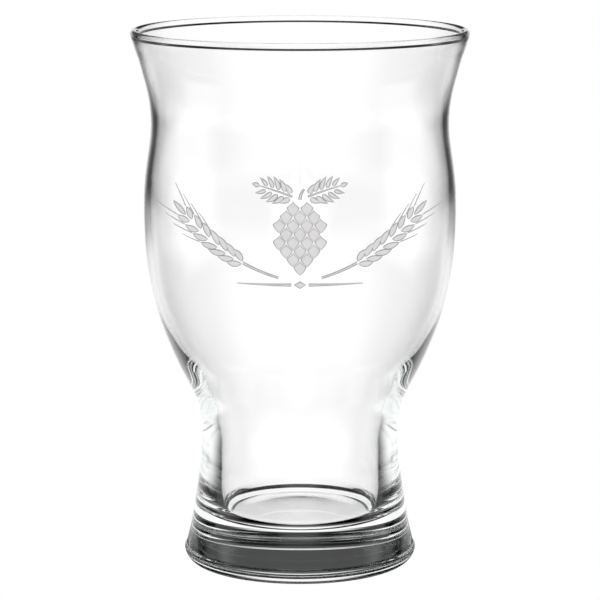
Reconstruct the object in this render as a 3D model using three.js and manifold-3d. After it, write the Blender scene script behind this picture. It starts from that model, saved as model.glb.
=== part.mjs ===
// A waisted pint glass with a heavy foot, and the fired-on enamel print on its bowl.
// Millimetres, +Z up. The origin is on the axis, on the plane that the foot stands on.
// The print faces -Y.

import * as THREE from 'three';
import { mergeVertices } from 'three/addons/utils/BufferGeometryUtils.js';
import Module from 'manifold-3d';

const wasm = await Module();
wasm.setup();

// ---- Driving dimensions -------------------------------------------------

const TURN_STEPS = 48;            // facets round the glass

const FOOT_RADIUS = 31.0;         // widest point of the foot, on the mould seam
const HEEL_ROUND = 4.0;           // rounding under the seam; the seam is this high
const SEAM_LIP = 0.4;             // how far the seam stands out of the foot's wall
const PUNT_RADIUS = 21.9;         // hollow under the foot
const PUNT_DEPTH = 0.3;

// Outside wall from the seam up to the rim: radius and height.
const OUTSIDE = [
  [30.5, 4.75], [29.2, 10.5], [27.8, 19.0], [26.5, 28.5], [26.3, 36.1], [27.1, 42.8], [30.1, 49.5],
  [33.75, 57.1], [37.35, 66.6], [40.4, 79.9], [41.3, 93.2], [40.95, 104.6], [39.4, 117.95],
  [41.15, 130.3], [44.6, 141.6],
];
// Inside wall from under the rim down to the middle of the floor.
const INSIDE = [
  [39.5, 130.3], [37.8, 117.95], [39.4, 104.6], [39.7, 93.2], [38.8, 79.9], [35.75, 66.6],
  [33.9, 62.0], [31.5, 57.2], [29.0, 53.0], [26.75, 49.3], [24.8, 45.8], [23.4, 42.4], [22.55, 39.0],
  [21.95, 35.3], [21.6, 31.0], [21.5, 25.7], [21.6, 21.0], [21.5, 17.0], [20.6, 13.9], [18.4, 12.5],
  [14.0, 12.3], [9.0, 12.3], [0, 12.3],
];
const FOOT_LEAN = [-0.235, 1];    // direction of the outside wall where it leaves the seam
const RIM_LEAN = [0.29, 1];       // and where it meets the rim
const OUTSIDE_STEPS = 24;
const PUNT_STEPS = 4;
const HEEL_STEPS = 6;
const LIP_STEPS = 3;
const LIP_TURN = 0.4 * Math.PI;   // how far the seam's lip curls over on to the foot's wall
const SEAM_STEPS = [0.004, 0.015]; // two finer steps where the wall leaves the seam, as fractions
const INSIDE_STEPS = 74;

const BEAD_ROUND = 1.05;          // fire-polished bead along the rim
const BEAD_FILLET = 0.8;          // hollow under the bead, inside
const BEAD_TURN = Math.PI / 4;    // how far the bead curls in over the inside wall
const BEAD_STEPS = 12;
const FILLET_STEPS = 4;

const PRINT_GAP = 0.1;            // the print is kept just clear of the glass
const PRINT_FILM = 0.2;           // thickness of the enamel
const PRINT_HEIGHT = 94.5;        // middle of the print
const PRINT_BAND = 15;            // half the height of the band that holds the print
const PRINT_TURN_STEPS = 180;     // facets round the print's own band
const PRINT_BAND_STEPS = 16;
const CUT_FRONT = 48;             // the flat outlines are cut through the band from this far in front
const CUT_DEPTH = 40;             // and this deep, which stops short of the back of the bowl
const CURVE_STEPS = 5;            // steps along each curve of an outline
const SEARCH_FROM = 0.4;          // the print is on the upper part of the outside wall
const SEARCH_HALVINGS = 30;

// ---- Colours ------------------------------------------------------------

const glassLook = new THREE.MeshStandardMaterial({
  name: 'clear_glass', color: 0xe9f0ee, roughness: 0.02, metalness: 0, transparent: true, opacity: 0.35,
});
const enamelLook = new THREE.MeshStandardMaterial({
  name: 'frosted_enamel', color: 0xdedadc, roughness: 0.75, metalness: 0,
});

// ---- Curves -------------------------------------------------------------

/** Solves the cubic spline through values at knots, with both end slopes given, for its bends. */
function splineBends(knots, values, startSlope, endSlope) {
  const count = knots.length;
  const last = count - 1;
  const span = (i) => knots[i + 1] - knots[i];
  const rise = (i) => (values[i + 1] - values[i]) / span(i);
  const above = new Array(count).fill(0);
  const bends = new Array(count).fill(0);
  above[0] = 0.5;
  bends[0] = 3 * (rise(0) - startSlope) / span(0);
  for (let i = 1; i <= last; i += 1) {
    const below = span(i - 1);
    const next = i < last ? span(i) : 0;
    const load = i < last ? rise(i) - rise(i - 1) : endSlope - rise(i - 1);
    const pivot = 2 * (below + next) - below * above[i - 1];
    above[i] = next / pivot;
    bends[i] = (6 * load - below * bends[i - 1]) / pivot;
  }
  for (let i = last - 1; i >= 0; i -= 1) {
    bends[i] -= above[i] * bends[i + 1];
  }
  return bends;
}

/** A smooth wall line through stations, leaving the first and meeting the last in given directions. */
class WallCurve extends THREE.Curve {
  constructor(stations, startDirection, endDirection) {
    super();
    this.stations = stations;
    this.knots = [0];
    for (let i = 1; i < stations.length; i += 1) {
      this.knots.push(this.knots[i - 1] + stations[i].distanceTo(stations[i - 1]));
    }
    this.bends = ['x', 'y'].map((axis) => splineBends(
      this.knots,
      stations.map((station) => station[axis]),
      startDirection[axis],
      endDirection[axis],
    ));
  }

  getPoint(t) {
    const { knots, stations } = this;
    const reach = t * knots[knots.length - 1];
    let i = 0;
    while (i < knots.length - 2 && reach > knots[i + 1]) i += 1;
    const span = knots[i + 1] - knots[i];
    const b = (reach - knots[i]) / span;
    const a = 1 - b;
    const value = (axis, k) => a * stations[i][axis] + b * stations[i + 1][axis]
      + (span ** 2 / 6) * ((a ** 3 - a) * this.bends[k][i] + (b ** 3 - b) * this.bends[k][i + 1]);
    return new THREE.Vector2(value('x', 0), value('y', 1));
  }
}

const point = ([radius, height]) => new THREE.Vector2(radius, height);
const along = (angle) => new THREE.Vector2(Math.cos(angle), Math.sin(angle));

function arc(centre, radius, from, to, steps) {
  return new THREE.ArcCurve(centre.x, centre.y, radius, from, to, to < from).getPoints(steps);
}

// ---- The glass's wall ---------------------------------------------------

const outsideWall = new WallCurve(
  OUTSIDE.map(point),
  point(FOOT_LEAN).normalize(),
  point(RIM_LEAN).normalize(),
);

/** Underside, from the axis out: the hollow of the punt, the flat bearing ring, then the heel. */
function underside() {
  const domeRadius = (PUNT_RADIUS ** 2 + PUNT_DEPTH ** 2) / (2 * PUNT_DEPTH);
  const edge = Math.asin(PUNT_RADIUS / domeRadius);
  const up = Math.PI / 2;
  const punt = arc(new THREE.Vector2(0, PUNT_DEPTH - domeRadius), domeRadius, up, up - edge, PUNT_STEPS);
  punt[0].x = 0;
  const heel = arc(new THREE.Vector2(FOOT_RADIUS - HEEL_ROUND, HEEL_ROUND), HEEL_ROUND, -up, 0, HEEL_STEPS);
  const lip = arc(new THREE.Vector2(FOOT_RADIUS - SEAM_LIP, HEEL_ROUND), SEAM_LIP, 0, LIP_TURN, LIP_STEPS);
  return [...punt, ...heel, ...lip.slice(1)];
}

/** The rim's bead: from the outside wall over the top, curling in, then a small hollow. */
function rim() {
  const top = outsideWall.getPoint(1);
  const lean = outsideWall.getTangent(1).angle();
  const inward = lean + Math.PI / 2;
  const beadCentre = top.clone().addScaledVector(along(inward), BEAD_ROUND);
  const bead = arc(beadCentre, BEAD_ROUND, lean - Math.PI / 2, inward + BEAD_TURN, BEAD_STEPS);
  const reach = BEAD_ROUND + BEAD_FILLET;
  const filletCentre = beadCentre.clone().addScaledVector(along(inward + BEAD_TURN), reach);
  const start = inward + BEAD_TURN + Math.PI;
  const fillet = arc(filletCentre, BEAD_FILLET, start, inward + Math.PI, FILLET_STEPS);
  return { points: [...bead.slice(1), ...fillet.slice(1)], lean };
}

function glassBody() {
  const edge = rim();
  const rimEnd = edge.points[edge.points.length - 1];
  const insideWall = new WallCurve(
    [rimEnd, ...INSIDE.map(point)],
    along(edge.lean + Math.PI),
    new THREE.Vector2(-1, 0),
  );
  const inside = insideWall.getSpacedPoints(INSIDE_STEPS);
  inside[inside.length - 1].x = 0;
  const [seamEnd, ...wall] = outsideWall.getSpacedPoints(OUTSIDE_STEPS);
  const profile = [
    ...underside(),
    seamEnd,
    ...SEAM_STEPS.map((step) => outsideWall.getPointAt(step)),
    ...wall,
    ...edge.points,
    ...inside.slice(1),
  ];
  const geometry = new THREE.LatheGeometry(profile, TURN_STEPS);
  geometry.rotateX(Math.PI / 2);
  return geometry;
}

// ---- Booleans -----------------------------------------------------------

function toSolid(geometry) {
  geometry.deleteAttribute('normal');
  geometry.deleteAttribute('uv');
  const merged = mergeVertices(geometry, 1e-5);
  return new wasm.Manifold(new wasm.Mesh({
    numProp: 3,
    vertProperties: new Float32Array(merged.attributes.position.array),
    triVerts: new Uint32Array(merged.index.array),
  }));
}

function toGeometry(solid) {
  const mesh = solid.getMesh();
  const geometry = new THREE.BufferGeometry();
  geometry.setAttribute('position', new THREE.BufferAttribute(mesh.vertProperties, 3));
  geometry.setIndex(new THREE.BufferAttribute(mesh.triVerts, 1));
  geometry.computeVertexNormals();
  return geometry;
}

// ---- The print ----------------------------------------------------------
// Each island of enamel is drawn flat, as seen from the front, and cut out of a thin band that
// follows the bowl. x runs to the right and y up from the middle of the print.

/** Radius of the outside wall at a height in the print's band. */
function bowlRadius(height) {
  let low = SEARCH_FROM;
  let high = 1;
  for (let i = 0; i < SEARCH_HALVINGS; i += 1) {
    const middle = (low + high) / 2;
    if (outsideWall.getPoint(middle).y < height) low = middle;
    else high = middle;
  }
  return outsideWall.getPoint(low).x;
}

function printBand() {
  const heights = [];
  for (let i = 0; i <= PRINT_BAND_STEPS; i += 1) {
    heights.push(PRINT_HEIGHT + PRINT_BAND * (2 * i / PRINT_BAND_STEPS - 1));
  }
  const wall = (clearance) => heights.map((h) => new THREE.Vector2(bowlRadius(h) + clearance, h));
  const outer = wall(PRINT_GAP + PRINT_FILM);
  const inner = wall(PRINT_GAP).reverse();
  const band = new THREE.LatheGeometry([...outer, ...inner, outer[0].clone()], PRINT_TURN_STEPS);
  band.rotateX(Math.PI / 2);
  return toSolid(band);
}

/** A block of one flat outline, standing out through the front of the band. */
function block(outline) {
  const geometry = new THREE.ExtrudeGeometry(outline, {
    depth: CUT_DEPTH,
    bevelEnabled: false,
    curveSegments: CURVE_STEPS,
  });
  geometry.rotateX(Math.PI / 2);
  geometry.translate(0, CUT_DEPTH - CUT_FRONT, PRINT_HEIGHT);
  return toSolid(geometry);
}

const band = printBand();

function enamel(outlines) {
  const drawn = outlines.map(block).reduce((all, next) => all.add(next));
  return toGeometry(band.intersect(drawn));
}

/** Moves a flat outline: turned by an angle, then shifted to a place. */
function placed(outline, x, y, turn = 0) {
  const points = outline.getPoints(CURVE_STEPS).map((p) => p.rotateAround(new THREE.Vector2(), turn));
  return new THREE.Shape(points.map((p) => p.add(new THREE.Vector2(x, y))));
}

const GRAIN_CREST = 0.35;         // where a grain is widest, along its length

/** A pointed grain or awn, from its root at the origin out along +x. */
function grain(length, width) {
  const outline = new THREE.Shape();
  outline.moveTo(0, 0);
  outline.quadraticCurveTo(length * GRAIN_CREST, width, length, 0);
  outline.quadraticCurveTo(length * GRAIN_CREST, -width, 0, 0);
  return outline;
}

/** A ribbon along a curve, its half-width tapering from one end to the other. */
function ribbon(curve, startWidth, endWidth, steps) {
  const left = [];
  const right = [];
  for (let i = 0; i <= steps; i += 1) {
    const t = i / steps;
    const half = startWidth + (endWidth - startWidth) * t;
    const heading = curve.getTangent(t);
    const side = new THREE.Vector2(-heading.y, heading.x).multiplyScalar(half);
    left.push(curve.getPoint(t).add(side));
    right.push(curve.getPoint(t).sub(side));
  }
  return new THREE.Shape([...left, ...right.reverse()]);
}

// Hop cone: rows of scales from a round shoulder down to a tip, and a short stalk.
const CONE_TOP = 8.5;
const CONE_HEIGHT = 19;
const CONE_HALF_WIDTH = 6.9;
const CONE_ROWS = 6;
const CONE_SHOULDER = 0.2;        // how far the cone has swelled at its first row
const CONE_FULLNESS = 0.8;
const SCALE_TIP = 0.55;           // where a scale ends, down its row
const SCALE_BULGE = 1.12;         // how far a scale bulges past its tip
const SCALE_RISE = 0.6;
const NOTCH_WIDTH = 0.84;         // the notch under a scale's tip
const NOTCH_DROP = 0.3;
const SHOULDER_DROP = 0.2;
const STALK = [[0, CONE_TOP - 0.5], [0, CONE_TOP + 1.5], [1.1, CONE_TOP + 3]];
const STALK_HALF_WIDTHS = [0.45, 0.3];
const STALK_STEPS = 6;

/** The right-hand tip of a row's outer scale. */
function scaleTip(row) {
  const swell = Math.sin(Math.PI * (CONE_SHOULDER + (1 - CONE_SHOULDER) * row / CONE_ROWS));
  return [
    CONE_HALF_WIDTH * swell ** CONE_FULLNESS,
    CONE_TOP - CONE_HEIGHT * (row + SCALE_TIP) / CONE_ROWS,
  ];
}

function hopCone() {
  const right = [];
  let from = [0, CONE_TOP];
  for (let row = 0; row < CONE_ROWS; row += 1) {
    const tip = scaleTip(row);
    const bulge = [tip[0] * SCALE_BULGE, from[1] - (row ? SCALE_RISE : SHOULDER_DROP)];
    const edge = new THREE.QuadraticBezierCurve(point(from), point(bulge), point(tip));
    right.push(...edge.getPoints(CURVE_STEPS).slice(1));
    from = [tip[0] * NOTCH_WIDTH, tip[1] - NOTCH_DROP];
    right.push(point(from));
  }
  const left = right.map(({ x, y }) => new THREE.Vector2(-x, y)).reverse();
  const tail = point([0, CONE_TOP - CONE_HEIGHT]);
  const outline = new THREE.Shape([point([0, CONE_TOP]), ...right, tail, ...left]);
  const stalk = new THREE.QuadraticBezierCurve(...STALK.map(point));
  return enamel([outline, ribbon(stalk, ...STALK_HALF_WIDTHS, STALK_STEPS)]);
}

// Leaf: one broad blade with a toothed edge.
const LEAF_LENGTH = 10.5;
const LEAF_HALF_WIDTH = 3.4;
const LEAF_CREST = 0.8;
const LEAF_FULLNESS = 0.9;
const LEAF_TEETH = 5;
const TOOTH_STEP = 0.03;          // along the leaf from a tooth's tip to the notch after it
const TOOTH_NOTCH = 0.8;
const LEAF_ROOT = [1.9, 1.1];     // beside the stalk, above the cone's shoulder
const LEAF_TURN = 0.3;

function leaf(side) {
  const half = (t) => LEAF_HALF_WIDTH * Math.sin(Math.PI * t ** LEAF_CREST) ** LEAF_FULLNESS;
  const edge = [];
  for (let tooth = 1; tooth <= LEAF_TEETH; tooth += 1) {
    const t = tooth / (LEAF_TEETH + 1);
    edge.push([t * LEAF_LENGTH, half(t)]);
    edge.push([(t + TOOTH_STEP) * LEAF_LENGTH, half(t) * TOOTH_NOTCH]);
  }
  const mirrored = edge.map(([x, y]) => [x, -y]).reverse();
  const outline = new THREE.Shape([[0, 0], ...edge, [LEAF_LENGTH, 0], ...mirrored].map(point));
  const turn = side > 0 ? LEAF_TURN : Math.PI - LEAF_TURN;
  return enamel([placed(outline, side * LEAF_ROOT[0], CONE_TOP + LEAF_ROOT[1], turn)]);
}

// Barley ear: a stem that sweeps out and up, grains in pairs along its outer part, and a beard.
const STEM = [[5.5, -11.2], [13, -8.8], [20, -6], [30.5, 4.6]];
const STEM_HALF_WIDTHS = [0.35, 0.45];
const STEM_STEPS = 14;
const EAR_START = 0.4;            // along the stem
const EAR_LENGTH = 0.56;
const EAR_GRAINS = 7;
const EAR_FULLEST = 0.8;          // where the longest grains are, from 0 at the ear's root to 2
const EAR_TAPER = 0.25;
const GRAIN_LENGTH = 5.4;
const GRAIN_WIDTH = 2.3;
const GRAIN_SPREAD = 0.5;
const BEARD_START = 0.97;
const BEARD_LENGTH = 6.5;
const BEARD_WIDTH = 0.55;
const BEARD_LEANS = [-0.3, 0, 0.3];

function barley(side) {
  const stem = new THREE.CubicBezierCurve(...STEM.map(([x, y]) => point([side * x, y])));
  const outlines = [ribbon(stem, ...STEM_HALF_WIDTHS, STEM_STEPS)];
  for (let i = 0; i < EAR_GRAINS; i += 1) {
    const up = i / (EAR_GRAINS - 1);
    const t = EAR_START + EAR_LENGTH * up;
    const root = stem.getPoint(t);
    const heading = stem.getTangent(t).angle();
    const length = GRAIN_LENGTH * (1 - EAR_TAPER * Math.abs(2 * up - EAR_FULLEST));
    for (const lean of [-GRAIN_SPREAD, GRAIN_SPREAD]) {
      outlines.push(placed(grain(length, GRAIN_WIDTH), root.x, root.y, heading + lean));
    }
  }
  const tip = stem.getPoint(BEARD_START);
  for (const lean of BEARD_LEANS) {
    const awn = grain(BEARD_LENGTH, BEARD_WIDTH);
    outlines.push(placed(awn, tip.x, tip.y, stem.getTangent(1).angle() + lean));
  }
  return enamel(outlines);
}

// Rule: one long tapered line under the cone, with a small lozenge in the middle.
const RULE_HEIGHT = -13;
const RULE_HALF_LENGTH = 16;
const RULE_HALF_WIDTHS = [0.45, 0.15];
const RULE_STEPS = 8;
const LOZENGE = [[-1.6, 0], [0, -1], [1.6, 0], [0, 1]];

function rule() {
  const middle = point([0, RULE_HEIGHT]);
  const halves = [-1, 1].map((side) => {
    const line = new THREE.LineCurve(middle, point([side * RULE_HALF_LENGTH, RULE_HEIGHT]));
    return ribbon(line, ...RULE_HALF_WIDTHS, RULE_STEPS);
  });
  const lozenge = new THREE.Shape(LOZENGE.map(point));
  return enamel([...halves, placed(lozenge, 0, RULE_HEIGHT)]);
}

// ---- Assembly -----------------------------------------------------------

const pintGlass = new THREE.Group();

function addPart(name, geometry, material) {
  const mesh = new THREE.Mesh(geometry, material.clone());
  mesh.name = name;
  pintGlass.add(mesh);
}

addPart('glass_body', glassBody(), glassLook);
addPart('enamel_hop_cone', hopCone(), enamelLook);
addPart('enamel_leaf_left', leaf(-1), enamelLook);
addPart('enamel_leaf_right', leaf(1), enamelLook);
addPart('enamel_barley_left', barley(-1), enamelLook);
addPart('enamel_barley_right', barley(1), enamelLook);
addPart('enamel_rule', rule(), enamelLook);

export default pintGlass;
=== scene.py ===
"""Visual model of the waisted pint glass: fine glass, frosted print, and a bright-field studio.

Everything is in metres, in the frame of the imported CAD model: the glass stands on z = 0 with its axis
on z, and the print faces -Y. The glass wall is the CAD wall made smooth, and each island of the print
stands where its CAD node stands.
"""

import math

import bmesh
import bpy
import numpy as np
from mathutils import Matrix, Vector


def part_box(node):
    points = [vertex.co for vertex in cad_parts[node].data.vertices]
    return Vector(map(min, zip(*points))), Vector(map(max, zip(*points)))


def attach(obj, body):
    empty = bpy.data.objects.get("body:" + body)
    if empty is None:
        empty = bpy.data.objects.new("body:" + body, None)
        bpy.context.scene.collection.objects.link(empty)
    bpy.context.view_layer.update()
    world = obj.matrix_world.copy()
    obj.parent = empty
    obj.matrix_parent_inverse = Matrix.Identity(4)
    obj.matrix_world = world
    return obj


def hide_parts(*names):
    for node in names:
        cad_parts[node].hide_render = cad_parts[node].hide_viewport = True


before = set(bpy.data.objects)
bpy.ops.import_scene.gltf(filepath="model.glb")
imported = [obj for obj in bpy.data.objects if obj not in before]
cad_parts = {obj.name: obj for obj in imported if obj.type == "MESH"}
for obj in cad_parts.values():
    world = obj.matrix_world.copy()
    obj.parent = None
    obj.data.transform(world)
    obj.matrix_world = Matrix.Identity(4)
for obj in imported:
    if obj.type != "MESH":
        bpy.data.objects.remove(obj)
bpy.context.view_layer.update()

MM = 0.001

# ---- Sizes ------------------------------------------------------------------------------------

GLASS_TURNS = 224            # steps round the glass
STEP_LENGTH = 1.0 * MM       # longest step along the wall's profile
STEP_TURN = math.radians(3)  # most that the profile turns in one step
CORNER = math.radians(30)    # a sharper turn in the CAD profile stays a corner
SAME_PLACE = 1e-6            # CAD vertices are matched to this
WALL_START = 10 * MM         # over this height the outside radius has one value at each height

FILM = 0.16 * MM             # thickness of the enamel in the middle of a chip
FILM_CLEARANCE = 0.06 * MM   # the enamel's underside stands this far off the glass
RIM_WIDTH = 0.24 * MM        # the sloping border of every chip, painted darker as the shade of its slope
CHIP_CORNER = math.radians(50)       # a sharper edge of a chip is shaded as an edge

CAMERA_DISTANCE = 0.8154     # in front of the glass's axis
CAMERA_HEIGHT = 0.2115
CAMERA_TILT = math.radians(9.8)
CAMERA_LENS = 186.3
CAMERA_SENSOR = 36
CAMERA_CLIP = 0.01

FLOOR_RADIUS = 4
FLOOR_SIDES = 96
FLOOR_DROP = 0.05 * MM       # the floor lies this far under the foot, so the two never coincide

# ---- Smooth curves ------------------------------------------------------------------------------


def spline_bends(knots, values):
    """Second derivatives of the natural cubic spline through values at knots."""
    count = len(knots)
    gaps = np.diff(knots)
    slopes = np.diff(values) / gaps
    system = np.zeros((count, count))
    load = np.zeros(count)
    system[0, 0] = system[-1, -1] = 1
    for i in range(1, count - 1):
        system[i, i - 1 : i + 2] = gaps[i - 1], 2 * (gaps[i - 1] + gaps[i]), gaps[i]
        load[i] = 6 * (slopes[i] - slopes[i - 1])
    return np.linalg.solve(system, load)


def smooth_run(points):
    """A fine smooth line through one corner-free run of profile points."""
    if len(points) < 3:
        return points
    lengths = np.hypot(*np.diff(points, axis=0).T)
    knots = np.r_[0, np.cumsum(lengths)]
    bends = [spline_bends(knots, points[:, axis]) for axis in (0, 1)]
    headings = np.unwrap(np.arctan2(*np.diff(points, axis=0).T[::-1]))
    turns = np.abs(np.diff(headings))
    line = [points[0]]
    for i, length in enumerate(lengths):
        turn = max(turns[max(i - 1, 0) : i + 1])
        steps = max(math.ceil(length / STEP_LENGTH), math.ceil(turn / STEP_TURN))
        for after in np.arange(1, steps + 1) / steps:
            before = 1 - after
            bow = [
                length**2 / 6 * ((before**3 - before) * bend[i] + (after**3 - after) * bend[i + 1])
                for bend in bends
            ]
            line.append(before * points[i] + after * points[i + 1] + bow)
    return np.array(line)


def cad_profile(node):
    """The node's profile in the half plane y = 0, x >= 0, from the axis below to the axis above."""
    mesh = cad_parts[node].data
    places = [vertex.co for vertex in mesh.vertices]
    keys = {
        i: (round(p.x / SAME_PLACE), round(p.z / SAME_PLACE))
        for i, p in enumerate(places)
        if abs(p.y) < SAME_PLACE and p.x > -SAME_PLACE
    }
    links = {}
    for edge in mesh.edges:
        a, b = (keys.get(v) for v in edge.vertices)
        if a is not None and b is not None and a != b:
            links.setdefault(a, set()).add(b)
            links.setdefault(b, set()).add(a)
    here = min(links, key=lambda key: (key[0], key[1]))
    chain = [here]
    while True:
        onward = [key for key in links[chain[-1]] if key not in chain[-2:]]
        if not onward:
            break
        chain.append(onward[0])
    return np.array(chain) * SAME_PLACE


def smooth_profile(node):
    """The node's profile with every corner-free run made smooth."""
    points = cad_profile(node)
    headings = np.arctan2(*np.diff(points, axis=0).T[::-1])
    turns = np.abs((np.diff(headings) + math.pi) % (2 * math.pi) - math.pi)
    corners = [0, *(np.where(turns > CORNER)[0] + 1), len(points) - 1]
    runs = [smooth_run(points[a : b + 1]) for a, b in zip(corners, corners[1:])]
    profile = np.concatenate([runs[0], *(run[1:] for run in runs[1:])])
    return np.maximum(profile, 0)


def make_mesh(name, vertices, faces, sharp_from=math.pi):
    """A smooth-shaded piece; an edge that turns by more than sharp_from is shaded as an edge."""
    mesh = bpy.data.meshes.new(name)
    mesh.from_pydata([tuple(v) for v in vertices], [], faces)
    work = bmesh.new()
    work.from_mesh(mesh)
    bmesh.ops.recalc_face_normals(work, faces=work.faces)
    for face in work.faces:
        face.smooth = True
    for edge in work.edges:
        edge.smooth = edge.calc_face_angle(0) < sharp_from
    work.to_mesh(mesh)
    work.free()
    piece = bpy.data.objects.new(name, mesh)
    bpy.context.scene.collection.objects.link(piece)
    return piece


def lathe(name, profile, turns):
    """Turns a profile that starts and ends on the axis."""
    rows = len(profile) - 2
    vertices = [(0, 0, profile[0][1])]
    for turn in range(turns):
        angle = 2 * math.pi * turn / turns
        for radius, height in profile[1:-1]:
            vertices.append((radius * math.cos(angle), radius * math.sin(angle), height))
    vertices.append((0, 0, profile[-1][1]))
    top = len(vertices) - 1
    faces = []
    for turn in range(turns):
        a = 1 + turn * rows
        b = 1 + (turn + 1) % turns * rows
        faces.append((0, b, a))
        faces += [(a + i, b + i, b + i + 1, a + i + 1) for i in range(rows - 1)]
        faces.append((a + rows - 1, b + rows - 1, top))
    return make_mesh(name, vertices, faces, CORNER)


# ---- Node helpers -------------------------------------------------------------------------------


class Nodes:
    """Short calls for building one node tree."""

    def __init__(self, tree):
        self.tree = tree
        tree.nodes.clear()

    def node(self, kind, inputs=None, **settings):
        made = self.tree.nodes.new("ShaderNode" + kind)
        for key, value in settings.items():
            setattr(made, key, value)
        for key, value in (inputs or {}).items():
            self.feed(made.inputs[key], value)
        return made

    def feed(self, socket, value):
        if isinstance(value, bpy.types.NodeSocket):
            self.tree.links.new(value, socket)
        else:
            socket.default_value = value

    def math(self, operation, *values):
        return self.node("Math", dict(enumerate(values)), operation=operation).outputs[0]

    def ramp(self, value, start, end, first, last):
        """A smooth step from first to last as value goes from start to end."""
        inputs = {0: value, 1: start, 2: end, 3: first, 4: last}
        return self.node("MapRange", inputs, interpolation_type="SMOOTHSTEP").outputs[0]

    def choose(self, switch, off, on):
        inputs = {0: switch, 2: off, 3: on}
        return self.node("Mix", inputs, data_type="FLOAT").outputs[0]

    def output(self, kind, **sockets):
        self.node(kind, sockets)


# ---- The studio ---------------------------------------------------------------------------------
# Bright-field lighting: a white floor, and white fields in the four directions round the glass, with
# darkness between them and above, so that clear glass is drawn by its dark edges. Light that has been
# reflected inside the glass meets a calmer field than light that came straight through, which keeps
# the thick foot and waist smooth.

# Radii are in metres, heights over the horizon are sines, and a pair says where a change starts and
# ends.

ALL_ROUND = 4                                   # directions that have a field, spaced evenly
FRONT_AND_BACK = 2

# Straight light: the white field, in the four directions round the glass.
FIELD = 1.1
WINDOW = (math.radians(8), math.radians(30))    # how far off its middle the field ends
FLOOR_FADE = (0.55, 0.85)                       # where the floor that is white all round ends
HORIZON = (0.09, 0.17)                          # height at which the field ends

# Light mirrored once: the near floor, in front and behind only, round a painted contact shadow, a dark
# ring on which the foot stands, and the far floor, in all four directions.
MIRROR_FIELD = 1.1
MIRROR_WINDOW = (math.radians(38), math.radians(74))
# painted contact shadow on the floor round the foot: where the dark ring starts and where it ends
SHADOW_RING_START = (0.016, 0.026)
SHADOW_RING_END = (0.030, 0.075)
NEAR_FADE = (0.4, 0.75)
FAR_START = (0.3, 0.5)
FAR_BETWEEN = (0.5, 0.08)                       # strength of the far floor between the directions

# A dim band over the field, which the front of the foot mirrors.
GLOW = 0.08
GLOW_START = (0.06, 0.2)
GLOW_END = (0.40, 0.46)
GLOW_WINDOW = (math.radians(30), math.radians(38))

# Light mirrored twice or more: an even field, which only paths with many reflections meet.
DEEP_FIELD = 1.15
DEEP_FADE = (0.055, 0.1)
DEEP_HORIZON = (0.45, 0.65)
DEEP_BOUNCES = (4.5, 6.5)

DARK = 0.015                                    # strength of everything that isn't lit
SOFT_LIGHT = 1.0                                # light on the frosted print
SOFT_SKY = (0.9, 1.2)                           # and from the horizon and from overhead, as parts of it


def window(n, x, y, sides, edges):
    """1 towards each of the sides, which are spaced evenly from +Y, falling to 0 between them."""
    angle = n.math("ABSOLUTE", n.math("ARCTAN2", x, y))
    return n.ramp(n.math("PINGPONG", angle, math.pi / sides), *edges, 1.0, 0.0)


def by_path(n, straight, mirrored, deep, soft):
    """The strength that each kind of light path meets: straight through the glass, mirrored once
    or more often in it, or thrown by the print. The camera itself sees plain white."""
    path = n.node("LightPath").outputs
    mirrors = path["Glossy Depth"]
    deep = n.math("MULTIPLY", deep, n.ramp(mirrors, *DEEP_BOUNCES, DARK, 1.0))
    strength = n.choose(n.math("GREATER_THAN", mirrors, 0.5), straight, mirrored)
    strength = n.choose(n.math("GREATER_THAN", mirrors, 1.5), strength, deep)
    strength = n.choose(n.math("GREATER_THAN", path["Diffuse Depth"], 0.5), strength, soft)
    return n.choose(path["Is Camera Ray"], strength, 1.0)


def floor_strengths(n):
    """What straight, once mirrored and deep light meets on the floor."""
    x, y, _ = n.node("SeparateXYZ", {0: n.node("TexCoord").outputs["Object"]}).outputs
    radius = n.math("SQRT", n.math("ADD", n.math("MULTIPLY", x, x), n.math("MULTIPLY", y, y)))
    field = window(n, x, y, ALL_ROUND, WINDOW)
    straight = n.math("MAXIMUM", n.ramp(radius, *FLOOR_FADE, 1.0, 0.0), field)

    # painted contact shadow: light mirrored in the glass meets a dark ring on the floor round the foot,
    # white only inside it
    under = n.ramp(radius, *SHADOW_RING_START, 1.0, 0.0)
    sides = window(n, x, y, FRONT_AND_BACK, MIRROR_WINDOW)
    near = n.math("MULTIPLY", n.ramp(radius, *NEAR_FADE, 1.0, 0.0), sides)
    near = n.math("MULTIPLY", near, n.ramp(radius, *SHADOW_RING_END, 0.0, 1.0))
    far = n.math("MAXIMUM", field, n.ramp(radius, *FLOOR_FADE, *FAR_BETWEEN))
    far = n.math("MULTIPLY", far, n.ramp(radius, *FAR_START, 0.0, 1.0))
    mirrored = n.math("MAXIMUM", under, n.math("MAXIMUM", near, far))

    deep = n.ramp(radius, *DEEP_FADE, 1.0, DARK)
    return (
        n.math("MULTIPLY", straight, FIELD),
        n.math("MULTIPLY", mirrored, MIRROR_FIELD),
        n.math("MULTIPLY", deep, DEEP_FIELD),
    )


def make_floor():
    angles = np.linspace(0, 2 * math.pi, FLOOR_SIDES + 1)[:-1]
    edge = [(FLOOR_RADIUS * math.cos(a), FLOOR_RADIUS * math.sin(a), 0) for a in angles]
    floor = make_mesh("studio_floor", edge, [tuple(range(FLOOR_SIDES))])
    floor.location.z = -FLOOR_DROP
    material = bpy.data.materials.new("studio_floor")
    material.use_nodes = True
    n = Nodes(material.node_tree)
    strength = by_path(n, *floor_strengths(n), SOFT_LIGHT)
    glow = n.node("Emission", {"Strength": strength})
    n.output("OutputMaterial", Surface=glow.outputs[0])
    floor.data.materials.append(material)


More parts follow.
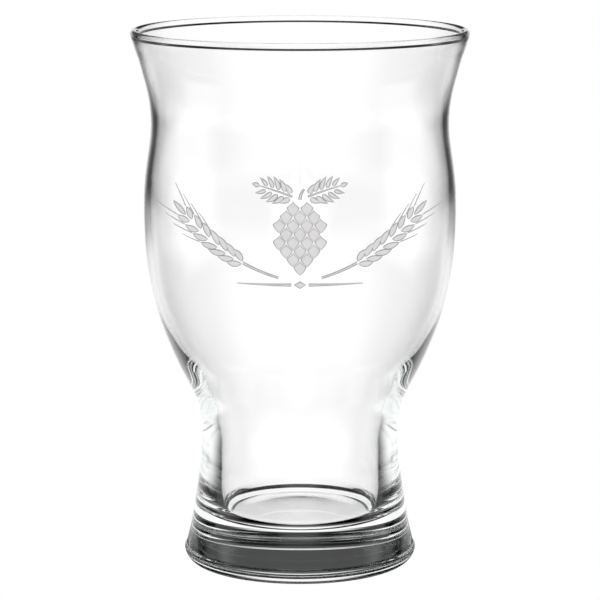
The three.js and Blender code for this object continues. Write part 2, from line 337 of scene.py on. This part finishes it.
def make_surroundings():
    world = bpy.data.worlds.new("studio")
    bpy.context.scene.world = world
    world.use_nodes = True
    n = Nodes(world.node_tree)
    x, y, z = n.node("SeparateXYZ", {0: n.node("TexCoord").outputs["Generated"]}).outputs
    lit = n.math("MULTIPLY", window(n, x, y, ALL_ROUND, WINDOW), n.ramp(z, *HORIZON, 1.0, DARK))
    straight = n.math("MULTIPLY", lit, FIELD)
    glow = n.math("MINIMUM", n.ramp(z, *GLOW_START, DARK, GLOW), n.ramp(z, *GLOW_END, GLOW, DARK))
    glow = n.math("MULTIPLY", glow, window(n, x, y, ALL_ROUND, GLOW_WINDOW))
    deep = n.ramp(z, *DEEP_HORIZON, DEEP_FIELD, DARK)
    soft = n.ramp(z, 0.0, 1.0, *(SOFT_LIGHT * part for part in SOFT_SKY))
    strength = by_path(n, straight, n.math("MAXIMUM", straight, glow), deep, soft)
    sky = n.node("Background", {"Color": (1, 1, 1, 1), "Strength": strength})
    n.output("OutputWorld", Surface=sky.outputs[0])


def make_camera():
    data = bpy.data.cameras.new("camera")
    data.sensor_width = CAMERA_SENSOR
    data.lens = CAMERA_LENS
    data.clip_start = CAMERA_CLIP
    camera = bpy.data.objects.new("camera", data)
    camera.location = (0, -CAMERA_DISTANCE, CAMERA_HEIGHT)
    camera.rotation_euler = (math.pi / 2 - CAMERA_TILT, 0, 0)
    bpy.context.scene.collection.objects.link(camera)
    bpy.context.scene.camera = camera


# ---- Materials ----------------------------------------------------------------------------------

GLASS_IOR = 1.52
GLASS_TINT = (0.82, 0.9, 0.88, 1)
GLASS_TINT_DENSITY = 3

FRIT_LIGHT = (0.76, 0.745, 0.755, 1)
FRIT_DARK = (0.68, 0.665, 0.675, 1)
# Painted shade: the chips' sloping borders are coloured much darker than the frit, standing in for the
# shade on the slope.
BORDER_PAINTED_SHADE_LIGHT = (0.40, 0.395, 0.40, 1)
BORDER_PAINTED_SHADE_DARK = (0.30, 0.295, 0.30, 1)
SPECKLE = {"Scale": 5200.0, "Detail": 3.0}
CLOUD = {"Scale": 420.0, "Detail": 2.0}
SPECKLE_SHARE = 0.6                             # of the colour's pattern; the rest is cloud
PATTERN_RANGE = (0.35, 0.65)                    # values of the pattern that give the two colours
ROUGH_RANGE = (0.3, 0.7)                        # values of the speckle that give the two roughnesses
ROUGHNESS = (0.55, 0.75)
GRAIN_STRENGTH = 0.25
GRAIN_HEIGHT = 0.03 * MM


def clear_glass():
    material = bpy.data.materials.new("clear_glass")
    material.use_nodes = True
    n = Nodes(material.node_tree)
    shader = n.node("BsdfPrincipled")
    shader.inputs["Base Color"].default_value = (1, 1, 1, 1)
    shader.inputs["Transmission Weight"].default_value = 1
    shader.inputs["IOR"].default_value = GLASS_IOR
    shader.inputs["Roughness"].default_value = 0.0
    tint = n.node("VolumeAbsorption")
    tint.inputs["Color"].default_value = GLASS_TINT
    tint.inputs["Density"].default_value = GLASS_TINT_DENSITY
    n.output("OutputMaterial", Surface=shader.outputs[0], Volume=tint.outputs[0])
    return material


def frosted(name, light, dark):
    """Fired frit: pale, matt and finely speckled."""
    material = bpy.data.materials.new(name)
    material.use_nodes = True
    n = Nodes(material.node_tree)
    place = n.node("TexCoord").outputs["Object"]
    speckle = n.node("TexNoise", {"Vector": place, **SPECKLE}).outputs[0]
    cloud = n.node("TexNoise", {"Vector": place, **CLOUD}).outputs[0]
    pattern = n.math(
        "ADD",
        n.math("MULTIPLY", speckle, SPECKLE_SHARE),
        n.math("MULTIPLY", cloud, 1 - SPECKLE_SHARE),
    )
    blend = n.ramp(pattern, *PATTERN_RANGE, 0.0, 1.0)
    colour = n.node("Mix", {0: blend, 6: dark, 7: light}, data_type="RGBA").outputs[2]
    rough = n.ramp(speckle, *ROUGH_RANGE, *ROUGHNESS)
    grain = n.node("Bump", {"Strength": GRAIN_STRENGTH, "Distance": GRAIN_HEIGHT, "Height": speckle})
    shader = n.node(
        "BsdfPrincipled",
        {"Base Color": colour, "Roughness": rough, "Normal": grain.outputs[0]},
    )
    n.output("OutputMaterial", Surface=shader.outputs[0])
    return material


# ---- The print ----------------------------------------------------------------------------------
# The print is drawn flat, in millimetres, as seen from the front: x to the right and y up from its
# middle. It is made of small raised chips of enamel. A chip runs along a spine with a half-width at
# every step, slopes down to a border with painted shade, and is then laid on the outside of the bowl.


class Chips:
    """Collects the chips of one island of the print, as one closed shell each."""

    COLUMNS = (-1, -0.62, -0.24, 0.24, 0.62, 1)     # across the raised middle, as parts of it
    LEAST_MIDDLE = 0.3      # the raised middle is at least this part of a thin chip
    LEAST_HEIGHT = 0.35     # a chip of no width has this part of the film's thickness
    FULL_WIDTH = 3          # and each border's width adds one part in this many
    EDGE_HEIGHT = 0.45      # height of the border's outer edge, as a part of the chip's
    CROWN = 0.12            # and how much higher the middle is than the border's inner edge

    def __init__(self):
        self.vertices = []
        self.faces = []
        # which faces belong to the sloping border and get the painted shade
        self.painted_shade_borders = []

    def add(self, spine, halves):
        """Adds a chip: spine is a list of points, and halves the half-width at each of them."""
        spine = np.array(spine, float)
        headings = np.gradient(spine, axis=0)
        sides = np.stack([-headings[:, 1], headings[:, 0]], 1)
        sides /= np.linalg.norm(sides, axis=1)[:, None]
        rim = RIM_WIDTH / MM
        rows = []
        for place, side, half in zip(spine, sides, halves):
            flat = max(half - rim, half * self.LEAST_MIDDLE)
            high = FILM / MM * min(1, self.LEAST_HEIGHT + half / rim / self.FULL_WIDTH)
            left, right = place - side * half, place + side * half
            middle = [
                (place + side * flat * c, high * (1 + self.CROWN * (1 - c * c)))
                for c in self.COLUMNS
            ]
            edge = high * self.EDGE_HEIGHT
            row = [(left, 0), (left, edge), *middle, (right, edge), (right, 0)]
            rows.append([len(self.vertices) + i for i in range(len(row))])
            self.vertices += [(*where, height) for where, height in row]
        last = len(rows[0]) - 1
        for low, high in zip(rows, rows[1:]):
            for i in range(last):
                self.faces.append((low[i], low[i + 1], high[i + 1], high[i]))
                self.painted_shade_borders.append(i in (0, 1, last - 2, last - 1))
            self.faces.append((low[last], low[0], high[0], high[last]))
            self.painted_shade_borders.append(True)
        for end in (rows[0], rows[-1]):
            self.faces.append(tuple(end))
            self.painted_shade_borders.append(True)

    def lay(self, name, middle, wall):
        """Makes the piece: middle is the height of the drawing's middle, and wall gives the radius
        of the glass at a height."""
        laid = []
        for x, y, height in self.vertices:
            z = middle + y * MM
            radius = wall(z) + FILM_CLEARANCE + height * MM
            laid.append((x * MM, -math.sqrt(radius**2 - (x * MM) ** 2), z))
        piece = make_mesh(name, laid, self.faces, CHIP_CORNER)
        for material in ENAMEL:
            piece.data.materials.append(material)
        # border faces take the second enamel, whose darker colour is painted shade
        for polygon, border in zip(piece.data.polygons, self.painted_shade_borders):
            polygon.material_index = int(border)
        return piece


STEPS = 14               # along a chip
POINT = 0.03             # half-width of a chip's pointed end
SWELL_FULLNESS = 0.8     # under 1 gives blunter ends


def bezier(*controls, steps=STEPS):
    """Points along a Bezier curve of any order."""
    points = [np.array(control, float) for control in controls]
    line = []
    for t in np.linspace(0, 1, steps + 1):
        level = points
        while len(level) > 1:
            level = [(1 - t) * a + t * b for a, b in zip(level, level[1:])]
        line.append(level[0])
    return line


def taper(start, end, steps=STEPS):
    """Half-widths that change evenly."""
    return np.linspace(start, end, steps + 1)


def swell(half, crest=0.7):
    """Half-widths that rise from a point and fall back to one; a lower crest rises sooner."""
    rise = np.sin(math.pi * np.linspace(0, 1, STEPS + 1) ** crest)
    return np.maximum(half * np.maximum(rise, 0) ** SWELL_FULLNESS, POINT)


def turned(points, angle, x=0.0, y=0.0, flip=1):
    """Points turned about the origin and moved, then mirrored left to right if flip is -1."""
    c, s = math.cos(angle), math.sin(angle)
    return [(flip * (p[0] * c - p[1] * s + x), p[0] * s + p[1] * c + y) for p in points]


CONE_TOP = 8.5
CONE_HEIGHT = 19
SCALES = (2, 3, 4, 3, 4, 3, 2, 1)    # scales in each row of the hop cone
LAST_ROW = 0.75                      # room for the last row's tip, in rows
SCALE_PITCH = 3.45
SCALE_GAP = 0.2
SCALE_LENGTH = 1.75                  # in rows
SCALE_SHOULDER = 0.42                # the widest point of a scale, from its top
SCALE_RISE = 1.5                     # how hollow its sides are over the shoulder
SCALE_FALL = 1.8                     # and how full under it
SCALE_LEAN = 0.05
STALK = ((0, CONE_TOP + 0.3), (0, CONE_TOP + 1.8), (1.1, CONE_TOP + 3))
STALK_HALVES = (0.45, 0.3)


def hop_cone():
    chips = Chips()
    row_height = CONE_HEIGHT / (len(SCALES) + LAST_ROW)
    length = SCALE_LENGTH * row_height
    t = np.linspace(0, 1, STEPS + 1)
    rise = (np.minimum(t, SCALE_SHOULDER) / SCALE_SHOULDER) ** SCALE_RISE
    fall = 1 - (np.maximum(t - SCALE_SHOULDER, 0) / (1 - SCALE_SHOULDER)) ** SCALE_FALL
    halves = np.maximum(rise * fall * (SCALE_PITCH - SCALE_GAP) / 2, POINT)
    for row, count in enumerate(SCALES):
        top = CONE_TOP - row_height * row
        for i in range(count):
            x = SCALE_PITCH * (i - (count - 1) / 2)
            lean = SCALE_LEAN * x
            chips.add([(x + lean * k * k, top - length * k) for k in t], halves)
    chips.add(bezier(*STALK), taper(*STALK_HALVES))
    return chips


LEAF_ROOT = (1.9, CONE_TOP + 1.1)
LEAF_TURN = 0.3
LEAF_LENGTH = 10.5
LEAF_HALF_WIDTH = 3.4
MIDRIB = ((0, 0), (LEAF_LENGTH * 0.5, 0.25), (LEAF_LENGTH * 0.86, 0))
MIDRIB_HALVES = (0.3, 0.12)
LEAF_TIP = ((LEAF_LENGTH * 0.83, 0), (LEAF_LENGTH * 1.02, 0))
LEAF_TIP_HALF = 0.62
LEAF_LOBES = 5                       # on each side
LOBE_ROOTS = (0.06, 0.15)            # place of the first lobe's root, and the pitch, along the leaf
LOBE_REACHES = (0.24, 0.145)         # the same, along the swell that sets how far a lobe reaches
LOBE_REACH_FULLNESS = 0.8
LOBE_OFFSET = 0.5                    # from the midrib to a lobe's root
LOBE_SWEEP = (0.5, 2.3)              # how far a lobe's bend and tip lie towards the leaf's tip
LOBE_BEND = 0.62                     # where along its reach a lobe bends
LOBE_HALVES = (0.76, -0.05)          # the first lobe's half-width, and the change to the next


def leaf(side):
    chips = Chips()

    def lay(points, halves):
        chips.add(turned(points, LEAF_TURN, *LEAF_ROOT, flip=side), halves)

    lay(bezier(*MIDRIB), taper(*MIDRIB_HALVES))
    for lobe in range(LEAF_LOBES):
        root, swelling, half = (a + b * lobe for a, b in (LOBE_ROOTS, LOBE_REACHES, LOBE_HALVES))
        x = root * LEAF_LENGTH
        reach = LEAF_HALF_WIDTH * math.sin(math.pi * swelling) ** LOBE_REACH_FULLNESS
        for edge in (-1, 1):
            start = (x, edge * LOBE_OFFSET)
            bend = (x + LOBE_SWEEP[0], edge * reach * LOBE_BEND)
            tip = (x + LOBE_SWEEP[1], edge * reach)
            lay(bezier(start, bend, tip), swell(half))
    lay(bezier(*LEAF_TIP), swell(LEAF_TIP_HALF))
    return chips


STEM = ((5.5, -11.2), (13, -8.8), (20, -6), (30.5, 4.6))
STEM_STEPS = 120
BARE_STEPS = 50                      # steps of the stem that carry no grains
BARE_STRIDE = 3
STEM_HALVES = (0.32, 0.4)
EAR_START = 0.41                     # where along the stem the grains sit
EAR_LENGTH = 0.51
EAR_TOP = 0.965
EAR_GRAINS = 7                       # on each side
GRAIN_LENGTH = 4.7
GRAIN_HALF_WIDTH = 0.84
GRAIN_CREST = 0.85
GRAIN_SPREAD = 0.5                   # angle between a grain and the stem
GRAIN_OFFSET = 0.32                  # from the stem to a grain's root
GRAIN_BOW = 0.35
GRAIN_BEND = 0.55                    # where along its length a grain bends
LONGEST_AT = 0.8                     # grains shrink away from here: 0 is the ear's foot, 2 its top
SHRINK = 0.22
TOP_GRAIN = 0.9                      # half-width of the grain on top, as a part of the others'
AWNS = 4                             # pairs of grains that carry an awn
AWN_ROOT = (1.04, 0.4)               # along the grain, in its lengths, and to the side of it
AWN_LENGTH = 8.0
AWN_BEND = (0.5, 0.5)                # along, in awn lengths, and to the side
AWN_TIP = (0.45, 0.3, 0.9)           # along at the ear's foot, the gain to its top, and to the side
AWN_HALVES = (0.17, 0.08)


def barley(side):
    chips = Chips()
    line = bezier(*STEM, steps=STEM_STEPS)

    def lay(points, halves):
        chips.add(turned(points, 0, flip=side), halves)

    def place(t):
        i = min(int(t * STEM_STEPS), STEM_STEPS - 1)
        heading = np.subtract(line[i + 1], line[i])
        return line[i], math.atan2(heading[1], heading[0])

    bare = line[:BARE_STEPS:BARE_STRIDE]
    lay(bare, taper(*STEM_HALVES, len(bare) - 1))
    for i in range(EAR_GRAINS):
        along = i / (EAR_GRAINS - 1)
        (x, y), heading = place(EAR_START + EAR_LENGTH * along)
        length = GRAIN_LENGTH * (1 - SHRINK * abs(2 * along - LONGEST_AT))
        for lean in (-1, 1):
            angle = heading + lean * GRAIN_SPREAD
            offset = lean * GRAIN_OFFSET
            root = (x - offset * math.sin(heading), y + offset * math.cos(heading))
            bow = lean * GRAIN_BOW
            grain = bezier((0, 0), (length * GRAIN_BEND, bow), (length, -bow))
            lay(turned(grain, angle, *root), swell(GRAIN_HALF_WIDTH, GRAIN_CREST))
            if i >= EAR_GRAINS - AWNS:
                start = turned([(length * AWN_ROOT[0], -lean * AWN_ROOT[1])], angle, *root)[0]
                bend = (AWN_LENGTH * AWN_BEND[0], -lean * AWN_BEND[1])
                tip = (AWN_LENGTH * (AWN_TIP[0] + AWN_TIP[1] * along), -lean * AWN_TIP[2])
                lay(turned(bezier((0, 0), bend, tip), angle, *start), taper(*AWN_HALVES))
    (x, y), heading = place(EAR_TOP)
    grain = turned(bezier((0, 0), (GRAIN_LENGTH, 0)), heading, x, y)
    lay(grain, swell(GRAIN_HALF_WIDTH * TOP_GRAIN, GRAIN_CREST))
    return chips


RULE_HEIGHT = -13
RULE_ENDS = (2.2, 16)                # where each half of the rule starts and ends
RULE_STEPS = 40
RULE_HALVES = (0.42, 0.12)
LOZENGE = (1.6, 1)                   # half-length and half-height


def rule():
    chips = Chips()
    for side in (-1, 1):
        inner, outer = ((side * end, RULE_HEIGHT) for end in RULE_ENDS)
        chips.add(bezier(inner, outer, steps=RULE_STEPS), taper(*RULE_HALVES, RULE_STEPS))
    t = np.linspace(-1, 1, STEPS + 1)
    halves = np.maximum(LOZENGE[1] * (1 - np.abs(t)), POINT)
    chips.add([(LOZENGE[0] * k, RULE_HEIGHT) for k in t], halves)
    return chips


LEFT, RIGHT = -1, 1
ISLANDS = {                          # what draws each island, and its side
    "hop_cone": (hop_cone,),
    "leaf_left": (leaf, LEFT),
    "leaf_right": (leaf, RIGHT),
    "barley_left": (barley, LEFT),
    "barley_right": (barley, RIGHT),
    "rule": (rule,),
}

# ---- The glass and its print --------------------------------------------------------------------

profile = smooth_profile("glass_body")
glass = lathe("pint_glass_wall", profile, GLASS_TURNS)
glass.data.materials.append(clear_glass())
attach(glass, "root")
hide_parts("glass_body")

outside = profile[: profile[:, 1].argmax()]
outside = outside[outside[:, 1] > WALL_START]


def outside_radius(height):
    return np.interp(height, outside[:, 1], outside[:, 0])


ENAMEL = (
    frosted("frosted_enamel", FRIT_LIGHT, FRIT_DARK),
    # the same frit, painted darker as the shade of the chips' sloping borders
    frosted("frosted_enamel_painted_shade_border", BORDER_PAINTED_SHADE_LIGHT, BORDER_PAINTED_SHADE_DARK),
)
low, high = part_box("enamel_rule")
print_middle = (low.z + high.z) / 2 - RULE_HEIGHT * MM
for island, (draw, *side) in ISLANDS.items():
    piece = draw(*side).lay("enamel_print_" + island, print_middle, outside_radius)
    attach(piece, "root")
    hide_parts("enamel_" + island)

make_floor()
make_surroundings()
make_camera()

scene = bpy.context.scene
scene.view_settings.view_transform = "Standard"
scene.cycles.max_bounces = 32
scene.cycles.transmission_bounces = 32
scene.cycles.glossy_bounces = 24
scene.cycles.caustics_refractive = True
scene.cycles.caustics_reflective = True
